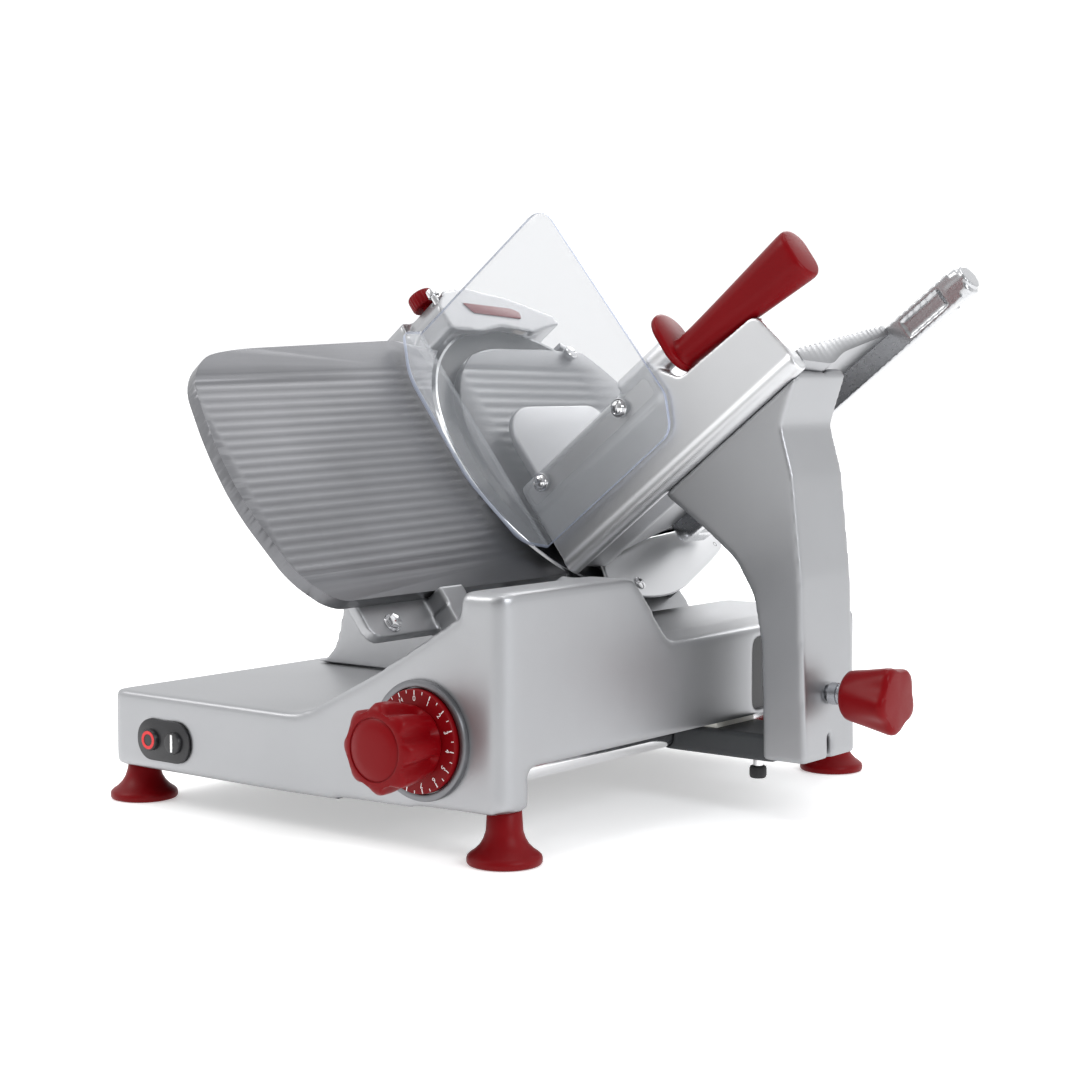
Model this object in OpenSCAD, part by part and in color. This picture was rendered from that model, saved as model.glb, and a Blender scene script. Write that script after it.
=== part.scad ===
// Gravity deli slicer: inclined blade and carriage on a low cast base.
// Slope frame: X is world Y, Y runs up the gauge plate (u), Z is the blade's normal (w).

/* [Blade] */
// Radius of the slicing blade
blade_r = 150; // [148:0.5:151]
// Angle between the blade and the vertical
alpha = 38; // [37:0.5:39]
// Distance of the blade axis from the front feet
hub_y = 360; // [358:1:362]
// Height of the blade axis up the slope
hub_u = 355; // [353:1:357]
// Radius of the blade pulley
blade_pulley_r = 60; // [57:1:60]
// Radius of the motor pulley
motor_pulley_r = 20; // [19:1:21]

/* [Base] */
// Left side of the base, from the right feet
base_left = -405; // [-407:1:-400]
// Right side of the base
base_right = 20; // [18:1:22]
// Front face of the base
base_front = -25; // [-28:1:-24]
// Rear face of the base
base_rear = 490; // [485:1:500]
// Height of the receiving deck
deck_z = 94; // [92:1:94]
// Height of the right-hand hump
hump_z = 200; // [198:1:202]
// Height of the low part of the right wall
wall_low_z = 146; // [144:1:148]
// Thickness of the casting
shell_t = 8; // [6:1:8]
// Radius of a rubber foot
foot_r = 28; // [24:1:28]

/* [Gauge plate] */
// Thickness of the gauge plate
gauge_t = 12; // [10:1:12]
// Gap left between the gauge plate and the blade edge
gauge_gap = 4; // [3.5:0.5:6]
// Widest slice
slice_max = 14; // [12:1:14]
// Radius of the thickness dial
dial_r = 38.6; // [36:0.2:38.6]

/* [Carriage] */
// Front face of the carriage fence
fence_y = 246; // [245:1:247]
// Length of the carriage floor along the slope
floor_len = 284; // [278:1:285]
// Radius of the guide rod
rod_r = 10; // [8:0.5:10]
// Running clearance between shafts and bores
run_fit = 0.05; // [0.02:0.01:0.08]
// Radius of the press rod
press_rod_r = 8; // [7:0.5:8]
// Thickness of the clear guard
guard_t = 4; // [3:0.5:4]

/* [Hidden] */
// Places are measured from the middle of the front right foot; this moves the
// origin to the middle of the underside of the whole machine.
origin_shift = [128, -220, 0];
foot_left = -395.6;
foot_rear = 466;
left_foot_h = 30;
right_foot_h = 40;
hub = [hub_y, hub_u];
motor_u = 215;
cover_w = 4.5;
flap_w = 9;
dial_x = -57;
dial_z = 88;
dial_turn = 336;
pin_reach = 30;
pin_r = 4;
gauge_shaft = [100, 160];
bolts_y = [36, 150];
gauge_shaft_r = 8;
press_rod = [458, 258];
handle = [fence_y + 10, 315];
grip_tilt = 7;
rod_x = -40;
rod_z = 55;
lock_y = 290;
post_low = [68, 268, 50];
post_high = [90, 312, 114];
lock_z = 100;
buttons_x = [-351, -323];
buttons_z = 57;
corner_steps = 7;
$fn = 64;

function unit(v) = v / norm(v);
function arc_points(c, r, a0, a1, steps) =
    [for (i = [0:steps]) c + r * [cos(a0 + (a1 - a0) * i / steps), sin(a0 + (a1 - a0) * i / steps)]];
function corner(p, before, after, r) =
    let (
        to_before = unit(before - p),
        to_after = unit(after - p),
        half = acos(to_before * to_after) / 2,
        c = p + unit(to_before + to_after) * r / sin(half),
        s = p + to_before * r / tan(half) - c,
        e = p + to_after * r / tan(half) - c,
        a0 = atan2(s[1], s[0]),
        turn = (atan2(e[1], e[0]) - a0 + 540) % 360 - 180
    ) arc_points(c, r, a0, a0 + turn, corner_steps);
function flat2(p) = [p[0], p[1]];
// A closed outline whose corners are [x, y, radius]
function rounded(q) =
    [for (i = [0:len(q) - 1])
        let (p = q[i], before = q[(i + len(q) - 1) % len(q)], after = q[(i + 1) % len(q)])
        each (p[2] == 0 ? [flat2(p)] : corner(flat2(p), flat2(before), flat2(after), p[2]))];
function box2(x0, y0, x1, y1, r) = rounded([[x0, y0, r], [x1, y0, r], [x1, y1, r], [x0, y1, r]]);
function belt_loop(big, small, reach) =
    let (lean = asin((blade_pulley_r - motor_pulley_r) / reach))
    concat(arc_points([0, reach], big, -lean, 180 + lean, 40),
        arc_points([0, 0], small, 180 + lean, 360 - lean, 24));

module placed() { translate(origin_shift) children(); }
module on_slope() { placed() rotate([0, 90 - alpha, 0]) rotate([0, 0, 90]) children(); }
module slope_slab(points, w0, w1) {
    on_slope() translate([0, 0, w0]) linear_extrude(w1 - w0) polygon(points);
}
module slope_rod(y, u, r, w0, w1) { on_slope() translate([y, u, w0]) cylinder(r = r, h = w1 - w0); }
module along_y(y0, y1) {
    placed() translate([0, y1, 0]) rotate([90, 0, 0]) linear_extrude(y1 - y0) children();
}
module along_x(x0, x1) {
    placed() translate([x0, 0, 0]) rotate([90, 0, 90]) linear_extrude(x1 - x0) children();
}
module rod_y(x, z, r, y0, y1) { placed() translate([x, y1, z]) rotate([90, 0, 0]) cylinder(r = r, h = y1 - y0); }
module rod_x_dir(y, z, r, x0, x1) { placed() translate([x0, y, z]) rotate([0, 90, 0]) cylinder(r = r, h = x1 - x0); }
module rod_up(x, y, r, z0, z1) { placed() translate([x, y, z0]) cylinder(r = r, h = z1 - z0); }
module block(low, high) { placed() translate(low) cube(high - low); }

// ---- base ----
hump_profile = [[-200, 80], [-200, deck_z - 1], [-174, 99], [-103, 134], [-45, 168], [-4, 193],
    [8, hump_z - 1], [15, hump_z - 1], [base_right, hump_z - 8], [base_right, 80]];
hump_hollow = [[-165, 70], [-165, 90], [-105, 122], [-45, 157], [0, 184], [12, 188], [12, 70]];
wall_profile = rounded([[base_front, 80, 0], [base_rear, 80, 0], [base_rear, wall_low_z, 12],
    [182, wall_low_z, 22], [136, hump_z, 26], [base_front, hump_z, 6]]);
wall_hollow = [[50, 70], [482, 70], [482, wall_low_z - shell_t], [178, wall_low_z - shell_t],
    [130, hump_z - shell_t], [50, hump_z - shell_t]];
pedestal_y = [284, 436];

module pedestal_shape(grow, w0, w1, wide_w) {
    slope_slab(box2(pedestal_y[0] - grow, 40, pedestal_y[1] + grow, 290 + grow, 10), wide_w, w1);
    slope_slab([[pedestal_y[0] - grow, 200], [pedestal_y[1] + grow, 200],
        [pedestal_y[1] + grow, hub_u], [pedestal_y[0] - grow, hub_u]], w0, w1);
    slope_rod(hub_y, hub_u, 76 + grow, w0, w1);
}

module base_plan(inset, low, high) {
    placed() translate([0, 0, low]) linear_extrude(high - low) polygon(rounded([
        [base_left + inset, base_front + inset, 14 - inset], [base_right - inset, base_front + inset, 12 - inset],
        [base_right - inset, base_rear - inset, 30 - inset], [base_left + inset, base_rear - inset, 14 - inset]]));
}
module base_outer() {
    base_plan(0, 30, deck_z);
    along_y(base_front, 60) polygon(hump_profile);
    along_x(-22, base_right) polygon(wall_profile);
    block([-130, 190, 60], [base_right, base_rear, wall_low_z - 2]);
    intersection() {
        slope_rod(gauge_shaft[0], gauge_shaft[1], 15, -70, -32);
        block([-200, 50, deck_z - 6], [0, 150, 200]);
    }
    slope_rod(gauge_shaft[0], gauge_shaft[1], 14, 90, 106);
}

module base_hollows() {
    base_plan(shell_t, 20, deck_z - shell_t);
    along_y(base_front + shell_t, 52) polygon(hump_hollow);
    along_x(-14, base_right - shell_t) polygon(wall_hollow);
    block([-122, 198, 60], [base_right - shell_t, base_rear - shell_t, wall_low_z - 10]);
    pedestal_shape(-7, -83, -24, -145);
}

module base_casting() {
    color("gainsboro") difference() {
        union() {
            difference() {
                intersection() {
                    base_outer();
                    base_plan(0, 0, 300);
                }
                intersection() {
                    base_hollows();
                    base_plan(shell_t, 0, 300);
                }
            }
            for (y = [0, foot_rear]) {
                rod_up(foot_left + 4, y, 12, left_foot_h, 88);
                rod_up(0, y, 15, right_foot_h, 71.5);
            }
            rod_y(dial_x, dial_z, 14, base_front + 1, 8);
            rod_y(rod_x, rod_z, 16, base_front + 1, -5);
            rod_y(rod_x, rod_z, 16, 470, base_rear - 1);
        }
        // open underside of the right wall, where the carriage link travels
        block([-66, 5, 0], [base_right + 5, 461, 71]);
        along_y(-80, 600) polygon([[-200, 30], [base_right + 9, 40.4], [base_right + 9, 10], [-200, 10]]);
        for (y = [0, foot_rear]) rod_up(0, y, 13.2, 20, right_foot_h);
        rod_y(dial_x, dial_z, 6 + run_fit, -40, 20);
        rod_y(rod_x, rod_z, rod_r, -15, 480);
        for (x = [foot_left + 4, 0], y = [0, foot_rear]) rod_up(x, y, 4, 20, 70);
        for (x = buttons_x) rod_y(x, buttons_z, 12, -40, 0);
        // window for the follower pin of the gauge plate
        block([-62, 46, 80], [-16, 118, 134]);
        slope_rod(gauge_shaft[0], gauge_shaft[1], gauge_shaft_r, -45, 103);
        block([base_right - 9, 306, 76], [base_right + 5, 452, wall_low_z - 10]);
        rod_y(-330, 60, 9, 470, 500);
    }
}

module blade_pedestal() {
    color("gainsboro") difference() {
        union() {
            difference() {
                union() {
                    pedestal_shape(0, -90, -17, -152);
                    slope_slab(box2(300, 400, 350, 478, 8), -60, -20);
                }
                pedestal_shape(-7, -83, -24, -145);
                block([-500, 0, -300], [200, 600, deck_z]);
                block([-130, 190, 60], [base_right, base_rear, wall_low_z - 2]);
            }
            slope_rod(hub_y, hub_u, 40, -90, -46);
            slope_slab([[288, 165], [432, 165], [432, 270], [288, 270]], -54, -48);
            difference() {
                along_y(196, 288) polygon([[-386, deck_z], [-368, 99], [-358, 110], [-352, 126], [-348, 146],
                    [-342, 152], [-130, 152], [-130, deck_z]]);
                along_y(202, 292) polygon([[-360, 90], [-352, 112], [-342, 140], [-338, 146], [-136, 146], [-136, 90]]);
            }
        }
        slope_rod(hub_y, hub_u, 26, -95, -40);
        slope_rod(hub_y, motor_u, 22, -60, -40);
        slope_rod(hub_y, hub_u, 34, -25, -10);
    }
}
module bottom_cover() {
    color("dimgray") difference() {
        intersection() {
            base_plan(shell_t, 31.5, 33.5);
            block([base_left, base_front, 31], [-150, base_rear, 34]);
        }
        for (y = [0, foot_rear]) rod_up(foot_left + 4, y, 14, 20, 50);
        for (y = [150:14:290]) block([-300, y, 30], [-220, y + 5, 40]);
    }
}
module side_panel() {
    color("#202224") block([base_right - shell_t, 306, 76], [base_right - shell_t + 3, 452, wall_low_z - 10]);
}
module foot(x, y, h) {
    color("firebrick") placed() translate([x, y, 0]) rotate_extrude()
        polygon([[0, 0], [foot_r - 2, 0], [foot_r, 2], [foot_r, 6], [foot_r - 5, 10], [18, 16],
            [14, 23], [12.8, h], [0, h]]);
}
module foot_front_left() { foot(foot_left + 4, 0, left_foot_h); }
module foot_front_right() { foot(0, 0, right_foot_h); }
module foot_rear_left() { foot(foot_left + 4, foot_rear, left_foot_h); }
module foot_rear_right() { foot(0, foot_rear, right_foot_h); }
module foot_studs() {
    color("silver") for (x = [foot_left + 4, 0], y = [0, foot_rear])
        rod_up(x, y, 4, x < -50 ? left_foot_h : right_foot_h, 68);
}
module dial_bezel() {
    color("silver") difference() {
        rod_y(dial_x, dial_z, 45, base_front - 5, base_front);
        rod_y(dial_x, dial_z, dial_r + 0.8, base_front - 9, base_front + 1);
    }
}
module switch_plate() {
    color("#161719") difference() {
        along_y(base_front - 3, base_front) {
            for (x = buttons_x) translate([x, buttons_z]) circle(17);
            polygon(box2(buttons_x[0], buttons_z - 15, buttons_x[1], buttons_z + 15, 0.5));
        }
        for (x = buttons_x) rod_y(x, buttons_z, 9.4, -40, 0);
    }
}
module push_button(x) {
    rod_y(x, buttons_z, 9, base_front - 6, base_front - 1.5);
    rod_y(x, buttons_z, 4, base_front - 2, -13.5);
}
module stop_button() { color("red") push_button(buttons_x[0]); }
module start_button() { color("white") push_button(buttons_x[1]); }
module switch_block() {
    color("dimgray") block([buttons_x[0] - 14, -10, 42], [buttons_x[1] + 14, 12, 74]);
}
module control_box() {
    color("darkslategray") block([-380, 180, 42], [-300, 290, deck_z - shell_t]);
}
module cord_gland() {
    color("#202224") difference() {
        union() {
            rod_y(-330, 60, 9, base_rear - 12, base_rear + 1);
            rod_y(-330, 60, 12, base_rear, base_rear + 8);
        }
        rod_y(-330, 60, 4, 470, 510);
    }
}
module guide_rod() { color("silver") rod_y(rod_x, rod_z, rod_r, -15, 480); }
module support_rail() {
    color("silver") intersection() {
        block([-2, base_front + shell_t, 71.5], [11, 472, 77]);
        base_plan(shell_t + 0.2, 60, 90);
    }
}

// ---- gauge plate and thickness dial ----
gauge_outline = concat(
    rounded([[250, 233, 0], [-22, 233, 14], [-48, 262, 20], [-63, 330, 60], [-60, 385, 60],
        [-44, 461, 32], [4, 476, 38], [215, 489, 0]]),
    arc_points(hub, blade_r + gauge_gap, 125.5, 232, 28));
function w_to_x(u, w) = -u * sin(alpha) + w * cos(alpha);
function w_to_z(u, w) = u * cos(alpha) + w * sin(alpha);
pin_x = dial_x + pin_reach * cos(alpha);
pin_z = dial_z + pin_reach * sin(alpha);
pin_u = -pin_x * sin(alpha) + pin_z * cos(alpha);
pin_w = pin_x * cos(alpha) + pin_z * sin(alpha);

module gauge_plate() {
    color("darkgray") {
        slope_slab(gauge_outline, -gauge_t, -1);
        for (u = [252:9:440]) slope_slab([[-36, u], [196, u], [196, u + 3], [-36, u + 3]], -1.5, -0.3);
    }
}
module gauge_bracket() {
    color("silver") difference() {
        union() {
            slope_slab(box2(8, 204, 190, 262, 12), -gauge_t - 10, -gauge_t);
            slope_slab([[84, 160], [116, 160], [116, 215], [84, 215]], -10, 8);
            slope_slab([[86, 196], [114, 196], [114, 232], [86, 232]], -22, 8);
            slope_rod(gauge_shaft[0], gauge_shaft[1], 16.5, -12, 40);
            along_y(84, 96) rotate(alpha)
                polygon([[10, 150], [38, 158], [pin_w + 9, pin_u + 8], [pin_w + 7, pin_u - 8], [pin_w - 8, pin_u - 6]]);
        }
        slope_rod(gauge_shaft[0], gauge_shaft[1], gauge_shaft_r + run_fit, -50, 60);
        rod_y(pin_x, pin_z, pin_r, 80, 100);
        for (y = bolts_y) slope_rod(y, 215, 3, -gauge_t - 11, -gauge_t + 1);
    }
}
module gauge_bolts() {
    color("silver") for (y = bolts_y) {
        slope_rod(y, 215, 3, -gauge_t - 10, -gauge_t);
        slope_rod(y, 215, 8, -gauge_t, -gauge_t + 1.5);
        on_slope() translate([y, 215, -gauge_t + 1.5]) cylinder(r = 6, h = 4.5, $fn = 6);
    }
}
module follower_pin() { color("silver") rod_y(pin_x, pin_z, pin_r, 30, 96); }
module gauge_shaft_rod() { color("silver") slope_rod(gauge_shaft[0], gauge_shaft[1], gauge_shaft_r, -45, 103); }
module thickness_dial() {
    color("firebrick") {
        rod_y(dial_x, dial_z, dial_r, base_front - 9, base_front - 0.5);
        for (step = [0:14]) placed() translate([dial_x, base_front - 9, dial_z])
            rotate([0, step * 360 / 15, 0]) translate([-0.6, -0.6, dial_r - 8]) cube([1.2, 1, 6]);
    }
}
module thickness_knob() {
    color("firebrick") {
        rod_y(dial_x, dial_z, 28, base_front - 54, base_front - 9);
        for (lobe = [0:7]) rod_y(dial_x + 26 * cos(45 * lobe), dial_z + 26 * sin(45 * lobe), 7.4,
            base_front - 52, base_front - 16);
    }
}
module dial_shaft() { color("silver") rod_y(dial_x, dial_z, 6, base_front - 0.5, 46); }
module index_cam() {
    color("goldenrod") difference() {
        along_y(32, 40) translate([dial_x, dial_z])
            polygon([for (turn = [0:8:dial_turn + 16])
                (pin_reach - pin_r - 0.4 - slice_max * turn / dial_turn) * [cos(alpha - turn), sin(alpha - turn)]]);
        rod_y(dial_x, dial_z, 6, 20, 50);
    }
}

// ---- blade and drive ----
module about_hub() { on_slope() translate([hub_y, hub_u, 0]) children(); }
module blade() {
    color("silver") difference() {
        about_hub() rotate_extrude($fn = 180)
            polygon([[19, -6], [blade_r - 9, -6], [blade_r, -0.8], [blade_r, 0], [128, -2.5], [19, -2.5]]);
        for (a = [0, 120, 240]) slope_rod(hub_y + 33 * cos(a), hub_u + 33 * sin(a), 2.5, -8, 0);
    }
}
module blade_hub() {
    color("silver") difference() {
        union() {
            slope_rod(hub_y, hub_u, 45, -14, -6);
            slope_rod(hub_y, hub_u, 19 - run_fit, -14, -3);
            slope_rod(hub_y, hub_u, 12.5, -88, -10);
            slope_rod(hub_y, hub_u, 20, -28, -12);
        }
        slope_rod(hub_y, hub_u, 6.5, -100, 10);
        for (a = [0, 120, 240]) slope_rod(hub_y + 33 * cos(a), hub_u + 33 * sin(a), 2.5, -14.5, 0);
    }
}
module blade_screws() {
    color("silver") for (a = [0, 120, 240]) {
        slope_rod(hub_y + 33 * cos(a), hub_u + 33 * sin(a), 2.5, -12, -2.5);
        slope_rod(hub_y + 33 * cos(a), hub_u + 33 * sin(a), 5, -2.5, 0.5);
    }
}
module blade_pulley() {
    color("dimgray") difference() {
        slope_rod(hub_y, hub_u, blade_pulley_r, -44, -28);
        slope_rod(hub_y, hub_u, 12.5, -50, -20);
        slope_rod(hub_y, hub_u, 50, -50, -34);
    }
}
module hub_bearings() {
    color("silver") for (w = [-60, -88]) difference() {
        slope_rod(hub_y, hub_u, 26, w, w + 13);
        slope_rod(hub_y, hub_u, 12.5 + run_fit, w - 1, w + 14);
    }
}
module drive_belt() {
    color("#1a1a1a") on_slope() translate([hub_y, motor_u, -42]) linear_extrude(12) difference() {
        polygon(belt_loop(blade_pulley_r + 3.4, motor_pulley_r + 3.4, hub_u - motor_u));
        polygon(belt_loop(blade_pulley_r + 0.4, motor_pulley_r + 0.4, hub_u - motor_u));
    }
}
module motor() {
    color("dimgray") difference() {
        union() {
            slope_rod(hub_y, motor_u, 48, -140, -54);
            slope_rod(hub_y, motor_u, 22, -54, -48);
        }
        slope_rod(hub_y, motor_u, 7 + run_fit, -80, -40);
    }
}
module motor_pulley() {
    color("silver") {
        slope_rod(hub_y, motor_u, motor_pulley_r, -44, -28);
        slope_rod(hub_y, motor_u, 7, -79, -44);
    }
}
module ring_guard() {
    color("gainsboro") about_hub() rotate([0, 0, -72]) rotate_extrude(angle = 128, $fn = 180)
        polygon([[62, -17], [159, -17], [159, cover_w], [152, cover_w], [152, -13], [62, -13]]);
}
cover_outline = concat([[291, 250.4]], arc_points(hub, 128, 238, 117, 40), [[342, 475], [410, 475]],
    arc_points(hub, 159, 47, -34, 40));
module blade_cover() {
    color("gray") {
        slope_slab(cover_outline, cover_w, cover_w + 2);
        for (u = [282:11:462]) slope_slab([[276, u], [444, u], [444, u + 3], [276, u + 3]], cover_w + 2, cover_w + 2.8);
    }
}
module lower_cover() {
    color("silver") difference() {
        slope_slab(concat(arc_points(hub, 160, 246, 292, 18), [[463, 222], [492, 233], [499, 238],
            [502, 246], [500, 257], [470, 263], [322, 251], [306, 240]]), cover_w, cover_w + 4.5);
        slope_rod(488, 241, 2.5, cover_w - 1, cover_w + 6);
    }
    color("silver") slope_rod(339, 210, 6, cover_w + 4, cover_w + 7);
}
module cover_tie_rod() { color("silver") slope_rod(hub_y, hub_u, 5, -108, cover_w); }
module tie_rod_knob() {
    color("firebrick") difference() {
        slope_rod(hub_y, hub_u, 17, -116, -93);
        slope_rod(hub_y, hub_u, 5 + run_fit, -117, -92);
    }
}
module cover_thumbscrew() {
    color("silver") {
        slope_rod(443, 468, 6.5, cover_w + 4, cover_w + 10);
        slope_rod(443, 468, 3, cover_w + 2.2, cover_w + 5);
    }
}

// ---- sharpener ----
sharpener_outline = rounded([[286, 494, 6], [286, 520, 10], [304, 538, 10], [340, 543, 20],
    [394, 533, 30], [450, 513, 5], [452, 502, 3], [404, 492, 20], [362, 498, 20], [330, 492, 10]]);
module sharpener_body() {
    color("gainsboro") difference() {
        union() {
            slope_slab(sharpener_outline, -34, 13);
            slope_slab(box2(286, 478, 345, 538, 8), -62, -34);
        }
        slope_rod(hub_y, hub_u, blade_r + 4, -9.5, 4);
        slope_rod(348, 515, 20, -20, 5);
        slope_rod(392, 509, 18, -12, 10.5);
        up_slope_rod(299, 5, 4.5, 500, 560);
        up_slope_rod(299, 5, 7, 529, 560);
        up_slope_rod(311, -16, 4 + run_fit, 510, 560);
        slope_rod(348, 515, 3, -30, -15);
        slope_rod(392, 509, 3, 5, 12);
    }
}
module up_slope_rod(y, w, r, u0, u1) {
    on_slope() translate([y, u0, w]) rotate([-90, 0, 0]) cylinder(r = r, h = u1 - u0);
}
module sharpener_badge() {
    color("firebrick") slope_slab([[322, 524], [330, 512], [396, 507], [398, 515], [388, 519]], 13, 14.2);
}
module sharpener_knob() {
    color("firebrick") {
        up_slope_rod(311, -16, 13, 542, 557);
        up_slope_rod(311, -16, 4, 512, 543);
    }
}
module sharpener_button() {
    color("silver") {
        up_slope_rod(299, 5, 5.5, 537, 545);
        up_slope_rod(299, 5, 3.5, 512, 538);
    }
}
module sharpening_stones() {
    color("tan") {
        slope_rod(348, 515, 17, -18, -11);
        slope_rod(348, 515, 2.9, -29, -17);
        slope_rod(392, 509, 15, 5.5, 9.5);
        slope_rod(392, 509, 2.9, 9, 11.5);
    }
}

// ---- carriage ----
floor_w = [14, 14 + floor_len];
function floor_u(y) = 242 + (y - 258) * tan(9);
module carriage_floor() {
    color("gainsboro") {
        difference() {
            slope_slab([[258, 232], [258, floor_u(258)], [422, floor_u(422)], [425, floor_u(425) + 2],
                [428, floor_u(425)], [428, floor_u(425) - 12], [420, floor_u(420) - 8], [330, 241],
                [300, 228]], floor_w[0], floor_w[1]);
            slope_rod(fence_y + 7, 233, 9, floor_w[0] - 1, floor_w[1] + 1);
        }
        for (y = [266:9:416]) slope_slab([[y - 2, floor_u(y) - 1], [y + 2, floor_u(y) - 1], [y, floor_u(y) + 2]],
            floor_w[0] + 1, floor_w[1] - 1);
    }
}
module carriage_fence() {
    color("gainsboro") difference() {
        union() {
            along_y(fence_y, fence_y + 12) rotate(alpha)
                polygon(rounded([[14, 230, 6], [298, 230, 4], [297, 246, 6], [290, 284, 10], [204, 288, 10],
                    [186, 314, 8], [14, 314, 3]]));
            along_y(fence_y - 2, fence_y) rotate(alpha) polygon(box2(15, 286, 184, 313, 9));
            // rounded lower edge, then the boss for the handle
            slope_rod(fence_y + 7, 233, 9, 14, 297);
            slope_rod(handle[0], handle[1], 12, 150, 206.5);
        }
        for (w = [40, 144]) along_y(230, 260) rotate(alpha) translate([w, 303]) circle(2.5);
        slope_rod(handle[0], handle[1], 7, 176, 208);
    }
}
arm_outline = rounded([[-38, 258, 6], [76, 359.5, 5], [91, 359, 6], [76, 314, 22], [87, 276, 60], [96, 195, 60],
    [102, 47, 3], [62, 47, 3], [59, 140, 60], [52, 178, 40], [34, 207, 40], [4, 230, 40]]);
module carriage_arm() {
    color("gainsboro") difference() {
        along_y(fence_y + 5, 330) polygon(arm_outline);
        along_y(260, 340) polygon(rounded([[0, 276, 4], [70, 329, 3], [67, 312, 10], [78, 270, 30], [87, 190, 30],
            [91, 124, 10], [67, 124, 4], [66, 150, 30], [60, 184, 30], [40, 215, 30], [12, 240, 20]]));
        slope_rod(fence_y + 7, 233, 9 + run_fit, 0, 400);
        slope_slab([[240, 230], [258, 230], [258, 232], [300, 228], [330, 241], [460, 255], [460, 400],
            [240, 400]], -10, 400);
        rod_x_dir(lock_y, lock_z, 6 + run_fit, 80, 110);
        // socket that drops over the post of the slide block, and its slot
        block([post_low[0] - 0.4, post_low[1] - 0.4, 40], [post_high[0] + 0.4, post_high[1] + 0.4, post_high[2] + 1]);
        block([50, post_low[1] - 10.4, 40], [post_low[0] + 0.4, post_high[1] + 10.4, 66.4]);
        block([88, lock_y - 3, 40], [110, lock_y + 3, 64]);
        rod_x_dir(lock_y, 64, 3.05, 88, 110);
    }
}
module slide_block() {
    color("dimgray") difference() {
        union() {
            block([-60, post_low[1] - 10, 44], [post_low[0], post_high[1] + 10, 66]);
            block([post_low[0], post_low[1], 44], post_high);
        }
        rod_y(rod_x, rod_z, rod_r + run_fit, 200, 400);
    }
}
module glide_pad() { color("ivory") block([-2, 262, 66], [11, 318, 71.1]); }
module link_bumper() {
    color("#1a1a1a") {
        rod_up(46, 270, 7, 28, 38);
        rod_up(46, 270, 4, 38, 44);
    }
}
module lock_knob() {
    color("firebrick") {
        for (step = [0:3]) rod_x_dir(lock_y, lock_z, 20.8 + 2.4 * step, 117.8 + 11.4 * step, 129.4 + 11.4 * step);
        rod_x_dir(lock_y, lock_z, 9, 102.4, 119);
        rod_x_dir(lock_y, lock_z, 6, 90.8, 104);
    }
}
module finger_guard() {
    color("lightcyan", 0.5) difference() {
        union() {
            along_y(fence_y - 2 - guard_t, fence_y - 2) rotate(alpha)
                polygon(rounded([[flap_w, 256, 0], [172, 256, 16], [187, 285, 10], [184, 489, 18], [flap_w, 489, 0]]));
            slope_slab(rounded([[fence_y - 4, 256.5, 0], [fence_y - 4, 488.5, 0], [218, 488.5, 12], [192, 440, 60],
                [190, 330, 60], [212, 262, 20]]), flap_w + 0.2, flap_w + guard_t);
        }
        for (w = [40, 144]) along_y(230, 260) rotate(alpha) translate([w, 303]) circle(2.6);
    }
}
module guard_screws() {
    color("silver") for (w = [40, 144]) {
        along_y(236, 256) rotate(alpha) translate([w, 303]) circle(2.5);
        along_y(234.5, 240) rotate(alpha) translate([w, 303]) circle(8);
    }
}
module grip_slab(half_y, half_u, low, high) {
    on_slope() translate([handle[0], handle[1], 212]) rotate([grip_tilt, 0, 0]) translate([0, 0, low])
        linear_extrude(high - low) polygon(box2(-half_y, -half_u, half_y, half_u, half_y - 0.1));
}
module carriage_handle() {
    color("silver") slope_rod(handle[0], handle[1], 7, 176, 210);
    color("firebrick") {
        grip_slab(20, 25, -3.5, 3.5);
        grip_slab(16, 21.5, 3, 137);
    }
}

// ---- meat press ----
module press_rod_bar() {
    color("silver") slope_rod(press_rod[0], press_rod[1], press_rod_r, 16, 347);
}
module press_rail() {
    color("gainsboro") difference() {
        union() {
            slope_slab([[428, 242], [439, 242], [439, 268], [428, 268]], 24, 370);
            slope_slab(box2(428, 242, 448, 268, 6), 362, 378);
            slope_rod(439, 256, 11.3, 362, 382);
            slope_slab(box2(428, 249, 470, 268, 6), 333, 349);
            slope_slab(box2(428, 243, 470, 268, 6), 14, 28);
        }
        slope_slab([[424, 246], [430, 246], [430, 263], [424, 263]], 312, 356);
        slope_rod(press_rod[0], press_rod[1], press_rod_r, 0, 347);
    }
}
module press_hub() {
    color("silver") difference() {
        slope_rod(press_rod[0], press_rod[1], 11, 64, 112);
        slope_rod(press_rod[0], press_rod[1], press_rod_r + run_fit, 60, 120);
    }
}
module press_plate() {
    color("whitesmoke") {
        slope_slab(rounded([[264, 252, 4], [264, 395, 56], [412, 395, 22], [412, 276, 4]]), 18, 26);
        for (u = [290:9:384]) slope_slab([[300, u], [398, u], [398, u + 3], [300, u + 3]], 17, 18);
    }
    color("silver") difference() {
        union() {
            slope_rod(press_rod[0], press_rod[1], 16, 74, 102);
            slope_slab([[446, 262], [470, 262], [470, 345], [446, 345]], 74, 90);
            slope_slab([[340, 328], [470, 328], [470, 348], [340, 348]], 74, 90);
            slope_rod(352, 338, 12, 26, 90);
        }
        slope_rod(press_rod[0], press_rod[1], 11 + run_fit, 60, 120);
    }
}

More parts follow.
